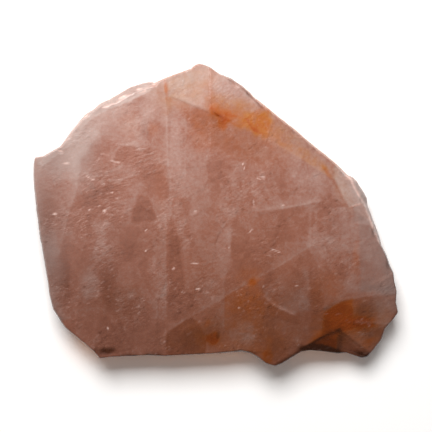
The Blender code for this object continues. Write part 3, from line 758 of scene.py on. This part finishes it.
@dataclass(frozen=True)
class Stone:
    """The slab: its shape, its maps and its marks."""

    outline: Outline = Outline()
    markings: Markings = Markings()
    thickness: float = 14.0
    skin: float = 0.3  # how far the face lies below the top on average
    lip: float = 0.6  # how far the widest line stays below the face
    net: int = 252  # squares along each side of the face's net
    wall_below: int = 11  # rings from the foot to the widest line
    wall_above: int = 9  # rings from the widest line to the face
    floor_shares: tuple[float, ...] = (0.97, 0.72, 0.4)
    bevel_curve: float = 1.7
    undercut_curve: float = 1.5
    rib_heading: float = 38.0
    rib_length: float = 4.0  # how many times longer than wide the ribs are
    tilt: float = 0.009  # how steep the mosaic's flats are, as a rise for each millimetre
    tilt_seed: int = 8
    flat_limit: float = 0.08  # the most that a flat rises or falls, in millimetres
    calm: float = 0.6  # how much fainter the flats are on the upper side
    calm_span: Pair = (-20.0, 40.0)  # y where they begin to be fainter, and where they are faintest
    swell: Texture = Texture(3, 34.0, 2, 0.16)
    ripple: Texture = Texture(4, 2.6, 3, 0.045)
    ribs: Texture = Texture(5, 2.2, 2, 0.012)
    dents: Texture = Texture(11, 7.0, 3, 0.35)
    nicks: Texture = Texture(12, 2.0, 2, 0.12)
    scoops: Texture = Texture(11, 8.0, 3, 1.7)
    chatter: Texture = Texture(12, 2.4, 3, 0.34)
    face_map: tuple[float, Pair] = (0.00484, (0.004, 0.395))  # size of a millimetre, corner
    floor_map: tuple[float, Pair] = (0.00306, (0.004, 0.004))
    strip_lefts: Pair = (0.75, 0.88)
    strip_width: float = 0.115
    strip_foot: float = 0.005
    strip_height: float = 0.99

    def named_depths(self, x: np.ndarray, y: np.ndarray) -> dict[str, np.ndarray]:
        """Each break's own depth below the top in millimetres, by its name."""
        return {name: Break(planes).depth(x, y) for name, planes in BREAKS.items()}

    def break_depth(self, x: np.ndarray, y: np.ndarray) -> np.ndarray:
        """The depth below the top of the deepest of all breaks, bites and pits."""
        balls = [Bite(*row).depth(x, y) for row in BITES_MM + PITS_MM]
        return np.maximum.reduce([*self.named_depths(x, y).values(), *balls])

    def grain_depth(self, x: np.ndarray, y: np.ndarray) -> np.ndarray:
        """The rough face's own relief: a broad swell, small tilted flats and fine ripples.

        A flat's depth is a slope times the distance from its seed, so neighbours meet in faint
        steps.

        Args:
            x: places across the slab in millimetres.
            y: places up the slab in millimetres.

        Returns:
            Depths below the top in millimetres, never under 0.
        """
        flat = level(x, y)
        along, across = turned(x, y, self.rib_heading)
        waves = self.swell.over(flat) + self.ripple.over(flat)
        ribs = self.ribs.over(level(along / self.rib_length, across))
        number, from_seed = MOSAIC.share_out(x, y)
        slopes = np.random.default_rng(self.tilt_seed).normal(0.0, self.tilt, (MOSAIC.flats, 2))
        faint = 1.0 - self.calm * smooth_step(*self.calm_span, y)
        tilt = (from_seed * slopes[number]).sum(axis=1) * faint
        tilt = np.clip(tilt, -self.flat_limit, self.flat_limit)
        return np.clip(self.skin + waves + ribs + tilt, 0.0, None)

    def face(self) -> tuple[np.ndarray, np.ndarray]:
        """The large face as a square net bent into the slab's top edge.

        A point (a, b) of the square has share max(|a|, |b|) of the way out, and its heading turns
        evenly along each side of the square.

        Returns:
            Places as rows of x, y, z in millimetres, in rows of the net, and their headings.
        """
        steps = np.linspace(-1.0, 1.0, self.net + 1)
        a, b = (part.ravel() for part in np.meshgrid(steps, steps))
        wide = np.abs(a) > np.abs(b)
        signed = np.where(wide, a, b)
        ratio = np.where(wide, b, a) / np.where(signed == 0.0, 1.0, signed)
        quarter = math.pi / 4.0
        heading = np.where(wide, quarter * ratio, math.pi / 2.0 - quarter * ratio)
        heading = heading + np.where(signed < 0.0, math.pi, 0.0)
        bevel, _, _ = self.outline.edge(heading)
        out = np.abs(signed) * (self.outline.reach(heading) - bevel)
        x, y = out * np.cos(heading), out * np.sin(heading)
        top = self.thickness - self.break_depth(x, y) - self.grain_depth(x, y)
        return np.column_stack((x, y, top)), heading

    def rim_order(self) -> np.ndarray:
        """The net's outer points, once round.

        Returns:
            Their indices, anticlockwise from the lower left.
        """
        side = self.net + 1
        index = np.arange(side * side).reshape(side, side)
        return np.concatenate((index[0, :-1], index[:-1, -1], index[-1, :0:-1], index[:0:-1, 0]))

    def ring(self, heading: np.ndarray, inset: np.ndarray, height: np.ndarray) -> np.ndarray:
        """One ring of the wall: the outline drawn in by inset, as rows of x, y, z."""
        reach = self.outline.reach(heading) - inset
        return np.column_stack((reach * np.cos(heading), reach * np.sin(heading), height))

    def wall(self, rim: np.ndarray, heading: np.ndarray) -> list[np.ndarray]:
        """The broken wall as rings, from just under the face's rim down to the foot.

        Above the widest line a ring is drawn in by bevel * share^1.7, and by dents that fade
        towards the rim. Below it a ring is drawn in by undercut * (1 - share)^1.5 and by hollows.
        Heights run evenly between the lines.

        Args:
            rim: the face's rim, as rows of x, y, z in millimetres.
            heading: the rim's angles in radians.

        Returns:
            Rings of x, y, z in millimetres, top ring first.
        """
        bevel, undercut, widest = self.outline.edge(heading)
        edge = self.ring(heading, np.zeros_like(heading), np.zeros_like(heading))
        cut = self.break_depth(edge[:, 0], edge[:, 1])
        crest = np.minimum(self.thickness * widest, self.thickness - cut - self.lip)
        rings = []
        for share in np.linspace(1.0, 0.0, self.wall_above + 1)[1:]:
            inset = bevel * share**self.bevel_curve
            height = crest + (rim[:, 2] - crest) * share
            space = self.ring(heading, inset, height)
            dents = np.abs(self.dents.over(space)) + self.nicks.over(space)
            down = 1.0 - share
            onset = min(1.0, 4.0 * down)
            inset = inset + np.clip(dents + 0.05, 0.0, None) * (0.35 + 0.65 * down) * onset
            rings.append(self.ring(heading, inset, height))
        for share in np.linspace(1.0, 0.0, self.wall_below + 1)[1:]:
            inset = undercut * (1.0 - share) ** self.undercut_curve
            space = self.ring(heading, inset, crest * share)
            hollows = np.abs(self.scoops.over(space)) + self.chatter.over(space)
            rings.append(self.ring(heading, inset + np.clip(hollows, 0.0, None), crest * share))
        return rings

    def surface(self) -> tuple[np.ndarray, list[list[int]], np.ndarray]:
        """The closed surface: the face's net, the wall's rings, and the underside's rings and fan.

        Returns:
            Points as rows of x, y, z in millimetres, the faces by their points' numbers, and the
            place on the map of each corner of the faces.
        """
        face, heading = self.face()
        rim = self.rim_order()
        rings = self.wall(face[rim], heading[rim])
        rings += [rings[-1] * np.array((share, share, 1.0)) for share in self.floor_shares]
        points = np.concatenate((face, *rings, np.zeros((1, 3))))
        count, walls = len(rim), self.wall_above + self.wall_below
        grid = np.arange(len(face)).reshape(self.net + 1, self.net + 1)
        corners = (grid[:-1, :-1], grid[:-1, 1:], grid[1:, 1:], grid[1:, :-1])
        sheets = [np.stack(corners, axis=-1).reshape(-1, 4)]
        maps = [self.seen_down(points[sheets[0]], self.face_map)]
        loops = [rim] + [len(face) + i * count + np.arange(count) for i in range(len(rings))]
        along = np.arange(count)[:, None] + np.array((0, 0, 1, 1))
        for row, (upper, lower) in enumerate(itertools.pairwise(loops)):
            quads = np.column_stack((upper, lower, np.roll(lower, -1), np.roll(upper, -1)))
            sheets.append(quads)
            if row < walls:
                down = np.broadcast_to(row + np.array((0, 1, 1, 0)), along.shape)
                maps.append(self.on_strip(along / count, down / walls))
            else:
                maps.append(self.seen_down(points[quads], self.floor_map))
        last = loops[-1]
        fan = np.column_stack((last, np.full(count, len(points) - 1), np.roll(last, -1)))
        maps.append(self.seen_down(points[fan], self.floor_map))
        faces = np.concatenate(sheets).tolist() + fan.tolist()
        return points, faces, np.concatenate([part.reshape(-1, 2) for part in maps])

    def build(self) -> bpy.types.Object:
        """The stone's closed mesh, with its map and its marks.

        Returns:
            The finished object, at the origin.
        """
        points, faces, places = self.surface()
        mesh = bpy.data.meshes.new("stone")
        mesh.from_pydata((points * MM).tolist(), [], faces)
        mesh.uv_layers.new(name="OFBake").data.foreach_set("uv", places.ravel())
        cuts = self.named_depths(points[:, 0], points[:, 1])
        for mark, density in self.markings.densities(points, cuts).items():
            values = mesh.attributes.new(mark.value, "FLOAT", "POINT")
            values.data.foreach_set("value", density.astype(np.float32))
        mesh.shade_smooth()
        mesh.update()
        stone = bpy.data.objects.new("stone", mesh)
        bpy.context.scene.collection.objects.link(stone)
        return stone

    @staticmethod
    def seen_down(places: np.ndarray, part: tuple[float, Pair]) -> np.ndarray:
        """Places on a part of the map that is seen straight down: the face's or the underside's."""
        size, corner = part
        return (places[..., :2] + np.array(HALF_SPAN_MM)) * size + np.array(corner)

    def on_strip(self, along: np.ndarray, down: np.ndarray) -> np.ndarray:
        """The wall's share of the map: two upright strips at the right, each half way round.

        Args:
            along: how far round each corner is, from 0 to 1.
            down: how far down the wall it is, from 0 to 1.

        Returns:
            Places on the map, with the same leading shape and a last axis of 2.
        """
        second = along.mean(axis=-1, keepdims=True) > 0.5
        left = np.where(second, self.strip_lefts[1], self.strip_lefts[0])
        up = self.strip_foot + 2.0 * self.strip_height * (along - 0.5 * second)
        return np.stack((left + self.strip_width * down, up), axis=-1)


class Signal:
    """One number or colour flowing through the finish, which takes part in ordinary arithmetic."""

    def __init__(self, bench: Bench, socket: bpy.types.NodeSocket) -> None:
        """Holds the socket that the number comes out of."""
        self.bench = bench
        self.socket = socket

    def maths(self, operation: str, first: Value, second: Value) -> Signal:
        """The result of a Math node, by the node's own name for the operation."""
        return self.bench.signal("ShaderNodeMath", {"operation": operation}, {0: first, 1: second})

    def __add__(self, other: Value) -> Signal:
        """self + other."""
        return self.maths("ADD", self, other)

    def __radd__(self, other: Value) -> Signal:
        """other + self."""
        return self.maths("ADD", other, self)

    def __sub__(self, other: Value) -> Signal:
        """self - other."""
        return self.maths("SUBTRACT", self, other)

    def __rsub__(self, other: Value) -> Signal:
        """other - self."""
        return self.maths("SUBTRACT", other, self)

    def __mul__(self, other: Value) -> Signal:
        """self * other."""
        return self.maths("MULTIPLY", self, other)

    def __rmul__(self, other: Value) -> Signal:
        """other * self."""
        return self.maths("MULTIPLY", other, self)

    def between(self, low: float, high: float, start: float, end: float) -> Signal:
        """The share of the way from low to high, eased, then laid from start to end."""
        inputs = {0: self, 1: low, 2: high, 3: start, 4: end}
        return self.bench.signal("ShaderNodeMapRange", {"interpolation_type": "SMOOTHSTEP"}, inputs)


Value = Signal | float | tuple[float, ...]
Inputs = dict[str | int, Value]


class Bench:
    """The place where one finish is put together, node by node."""

    def __init__(self, name: str) -> None:
        """Makes an empty finish.

        Args:
            name: the material's name.
        """
        self.material = bpy.data.materials.new(name)
        self.material.use_nodes = True
        self.tree = self.material.node_tree
        self.tree.nodes.clear()

    def node(self, kind: str, settings: dict[str, object], inputs: Inputs) -> bpy.types.ShaderNode:
        """Adds one node.

        Args:
            kind: the node's type.
            settings: its own settings, set first.
            inputs: values or signals for its sockets, by name or number.

        Returns:
            The node.
        """
        made = self.tree.nodes.new(kind)
        for key, value in settings.items():
            setattr(made, key, value)
        for key, value in inputs.items():
            if isinstance(value, Signal):
                self.tree.links.new(value.socket, made.inputs[key])
            else:
                made.inputs[key].default_value = value
        return made

    def signal(
        self, kind: str, settings: dict[str, object], inputs: Inputs, output: str | int = 0
    ) -> Signal:
        """Adds one node, as node does, and takes one of its outputs."""
        return Signal(self, self.node(kind, settings, inputs).outputs[output])

    def mark(self, mark: Mark) -> Signal:
        """One of the stone's own densities."""
        return self.signal("ShaderNodeAttribute", {"attribute_name": mark.value}, {}, "Fac")

    def blend(self, share: Value, first: Value, second: Value) -> Signal:
        """Two colours mixed, where share is how much of the second shows."""
        settings = {"data_type": "RGBA", "blend_type": "MIX", "clamp_factor": True}
        return self.signal("ShaderNodeMix", settings, {0: share, 6: first, 7: second}, 2)

    def combed(self, places: Signal, heading: float, stretch: float) -> Signal:
        """Places drawn out along a heading in radians, so that noise read there lies in streaks."""
        inputs = {"Vector": places, "Rotation": (0.0, 0.0, heading), "Scale": (stretch, 1.0, 1.0)}
        return self.signal("ShaderNodeMapping", {"vector_type": "TEXTURE"}, inputs)

    def noise(self, places: Signal, size_mm: float, layers: float, gain: float = 0.5) -> Signal:
        """Soft noise about 0.5: its coarsest lumps, its finer layers and each layer's strength."""
        inputs = {"Vector": places, "Scale": 1.0 / (size_mm * MM), "Detail": layers, "Roughness": gain}
        return self.signal("ShaderNodeTexNoise", {}, inputs, "Fac")

    def finish(self, inputs: Inputs) -> bpy.types.Material:
        """Lays the surface.

        Args:
            inputs: values or signals for the surface's own sockets, by name.

        Returns:
            The finished material.
        """
        skin = self.node("ShaderNodeBsdfPrincipled", {}, inputs)
        self.node("ShaderNodeOutputMaterial", {}, {"Surface": Signal(self, skin.outputs[0])})
        return self.material


@dataclass(frozen=True)
class RoseQuartz:
    """The finish of rough rose quartz: cloudy pink, with a waxy gloss and light just inside it."""

    deep: Colour = (0.215, 0.075, 0.046, 1.0)
    pink: Colour = (0.345, 0.138, 0.092, 1.0)
    # milk colour: cloudy quartz, and also painted light and sheen
    milk_and_painted_light: Colour = (0.58, 0.42, 0.37, 1.0)
    ash: Colour = (0.30, 0.202, 0.176, 1.0)
    ochre: Colour = (0.46, 0.172, 0.030, 1.0)
    amber: Colour = (0.42, 0.104, 0.018, 1.0)
    rust: Colour = (0.37, 0.060, 0.003, 1.0)
    # smoke colour: dark inclusions, and painted shade
    smoke_and_painted_shade: Colour = (0.050, 0.012, 0.003, 1.0)
    # chip colour: white bruises and painted glints
    chip_and_glint: Colour = (0.82, 0.57, 0.50, 1.0)
    mottle_mm: float = 1.1
    lumps_mm: float = 2.8
    comb_mm: float = 0.9
    grit_mm: float = 1.0
    mottle_milk: float = 0.7  # how far the mottle, the lumps and the comb marks change the milk
    lumps_milk: float = 0.25
    comb_milk: float = 0.9
    comb_grit: float = 0.5
    mottle_gloss: Pair = (0.42, 0.28)  # roughness in the dull and in the shiny mottles
    smoke_gloss: float = -0.12  # what smoke adds to the roughness
    bending: float = 1.54  # how strongly quartz bends light
    sheen: float = 0.3
    glow: float = 0.2
    glow_depth: float = 2.0 * MM
    glow_spread: tuple[float, float, float] = (1.0, 0.65, 0.55)
    relief: float = 0.26 * MM

    def colour(self, bench: Bench, milk_and_painted_light: Signal, smoke_and_painted_shade: Signal) -> Signal:
        """The stone's colour: clear or milky pink with painted light, under its stains, its smoke with
        painted shade, and its bruises with painted glints.

        Args:
            bench: where the finish is put together.
            milk_and_painted_light: how cloudy the quartz is, and how clear below 0, with painted light.
            smoke_and_painted_shade: how dark its inclusions are, and the painted shade.

        Returns:
            The colour.
        """
        iron = bench.mark(Mark.IRON)
        colour = bench.blend(milk_and_painted_light * -2.0, self.pink, self.deep)
        for share, over in (
            (milk_and_painted_light, self.milk_and_painted_light),
            (bench.mark(Mark.ASH), self.ash),
            (bench.mark(Mark.OCHRE) * 1.5, self.ochre),
            (iron * 1.5, self.amber),
            ((iron - 0.5) * 1.6, self.rust),
            (smoke_and_painted_shade, self.smoke_and_painted_shade),
            (bench.mark(Mark.BRUISE_AND_GLINT), self.chip_and_glint),
        ):
            colour = bench.blend(share, colour, over)
        return colour

    def material(self) -> bpy.types.Material:
        """Builds the finish.

        Returns:
            The material.
        """
        bench = Bench("rose_quartz")
        places = bench.signal("ShaderNodeTexCoord", {}, {}, "Object")
        mottle = bench.noise(places, self.mottle_mm, 2.0, 0.6)
        lumps = bench.noise(places, self.lumps_mm, 2.0)
        hackles = bench.noise(bench.combed(places, 0.28, 3.5), self.comb_mm, 1.0)
        comb = (hackles - 0.5) * bench.mark(Mark.COMB)
        milk_and_painted_light = bench.mark(Mark.MILK_AND_PAINTED_LIGHT) + (mottle - 0.5) * self.mottle_milk
        milk_and_painted_light = milk_and_painted_light + (lumps - 0.5) * self.lumps_milk + comb * self.comb_milk
        smoke_and_painted_shade = bench.mark(Mark.SMOKE)
        gloss = mottle.between(0.3, 0.7, *self.mottle_gloss)
        gloss = gloss + smoke_and_painted_shade.between(0.1, 0.6, 0.0, self.smoke_gloss)
        grains = bench.noise(bench.combed(places, 0.5, 1.6), self.grit_mm, 2.0, 0.6)
        grit = grains * bench.mark(Mark.GRIT) + comb * self.comb_grit
        bump = {"Strength": 1.0, "Distance": self.relief, "Height": grit}
        return bench.finish(
            {
                "Base Color": self.colour(bench, milk_and_painted_light, smoke_and_painted_shade),
                "Roughness": gloss,
                "Normal": bench.signal("ShaderNodeBump", {}, bump),
                "IOR": self.bending,
                "Specular IOR Level": self.sheen,
                "Subsurface Weight": self.glow,
                "Subsurface Radius": self.glow_spread,
                "Subsurface Scale": self.glow_depth,
            }
        )


@dataclass(frozen=True)
class Lamp:
    """One square soft light that lights a single object, and may shine through all the others."""

    name: str
    place: tuple[float, float, float]
    size: float
    watts: float
    colour: tuple[float, float, float] = (1.0, 1.0, 1.0)
    blocked: bool = True

    def hang(self, target: Vector, lit: bpy.types.Object) -> None:
        """Hangs the light.

        Args:
            target: the point that it faces.
            lit: the only object that it lights.
        """
        data = bpy.data.lights.new(self.name, "AREA")
        data.shape = "SQUARE"
        data.size = self.size
        data.energy = self.watts
        data.color = self.colour
        lamp = bpy.data.objects.new(self.name, data)
        lamp.location = self.place
        lamp.rotation_mode = "QUATERNION"
        lamp.rotation_quaternion = (Vector(self.place) - target).to_track_quat("Z", "Y")
        bpy.context.scene.collection.objects.link(lamp)
        receivers = bpy.data.collections.new(f"lit_by_{self.name}")
        receivers.objects.link(lit)
        lamp.light_linking.receiver_collection = receivers
        if not self.blocked:
            lamp.light_linking.blocker_collection = receivers


@dataclass(frozen=True)
class Studio:
    """A plain white table, four soft lamps and a camera straight above.

    The key lights the stone alone, from beyond it. The wash and the fill light the table. The glow
    hangs inside the stone and lights the table, in place of the light that passes through quartz.
    """

    centre_y: float = -0.64 * MM
    frame_width: float = 172.8 * MM
    lens: float = 100.0
    sensor: float = 36.0
    near: float = 0.01
    look_at_height: float = 7.0 * MM
    table_half: float = 1.2
    white: Colour = (0.92, 0.91, 0.90, 1.0)
    key: Lamp = Lamp("key_light", (-0.20, 0.34, 0.44), 0.34, 5.12)
    wash: Lamp = Lamp("table_wash", (-0.145, 0.66, 0.90), 0.60, 17.3)
    fill: Lamp = Lamp("table_fill", (0.0, 0.0, 1.1), 0.5, 1.10, (1.0, 0.95, 0.91))
    glow: Lamp = Lamp("quartz_glow", (0.0, 0.0, 0.009), 0.116, 0.026, (1.0, 0.36, 0.08), False)
    sky: float = 0.15

    def build(self, stone: bpy.types.Object) -> None:
        """Sets the table, the lights and the camera.

        Args:
            stone: what the key light falls on.
        """
        target = Vector((0.0, self.centre_y, 0.0))
        self.key.hang(target, stone)
        table = self.table()
        self.wash.hang(target, table)
        self.fill.hang(target, table)
        self.glow.hang(Vector((0.0, 0.0, 0.0)), table)
        self.world()
        self.camera(target)
        bpy.context.scene.view_settings.view_transform = "Standard"

    def table(self) -> bpy.types.Object:
        """A wide white table top at the stone's foot.

        Returns:
            The table top.
        """
        mesh = bpy.data.meshes.new("table")
        half = self.table_half
        corners = [(-half, -half, 0.0), (half, -half, 0.0), (half, half, 0.0), (-half, half, 0.0)]
        mesh.from_pydata(corners, [], [(0, 1, 2, 3)])
        paint = {"Base Color": self.white, "Roughness": 0.7, "Specular IOR Level": 0.2}
        mesh.materials.append(Bench("white_table").finish(paint))
        table = bpy.data.objects.new("table", mesh)
        bpy.context.scene.collection.objects.link(table)
        return table

    def world(self) -> None:
        """An even, faint sky."""
        world = bpy.data.worlds.new("studio")
        world.use_nodes = True
        sky = world.node_tree.nodes["Background"].inputs
        sky["Color"].default_value = (1.0, 1.0, 1.0, 1.0)
        sky["Strength"].default_value = self.sky
        bpy.context.scene.world = world

    def camera(self, target: Vector) -> None:
        """A camera straight above, at the distance that gives the frame's width at mid height.

        Args:
            target: the point on the table under the camera.
        """
        data = bpy.data.cameras.new("camera")
        data.lens = self.lens
        data.sensor_width = self.sensor
        data.clip_start = self.near
        camera = bpy.data.objects.new("camera", data)
        distance = self.frame_width * self.lens / self.sensor
        camera.location = target + Vector((0.0, 0.0, self.look_at_height + distance))
        bpy.context.scene.collection.objects.link(camera)
        bpy.context.scene.camera = camera


def main() -> None:
    """Builds the stone, dresses it and sets it in the studio."""
    logging.basicConfig(level=logging.INFO, format="%(name)s: %(message)s")
    stone = Stone().build()
    stone.data.materials.append(RoseQuartz().material())
    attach(stone, "root")
    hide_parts(SLAB_NODE)
    LOG.info("stone: %d faces", len(stone.data.polygons))
    Studio().build(stone)
    LOG.info("studio: table, lamps and camera")


if __name__ == "__main__":
    main()
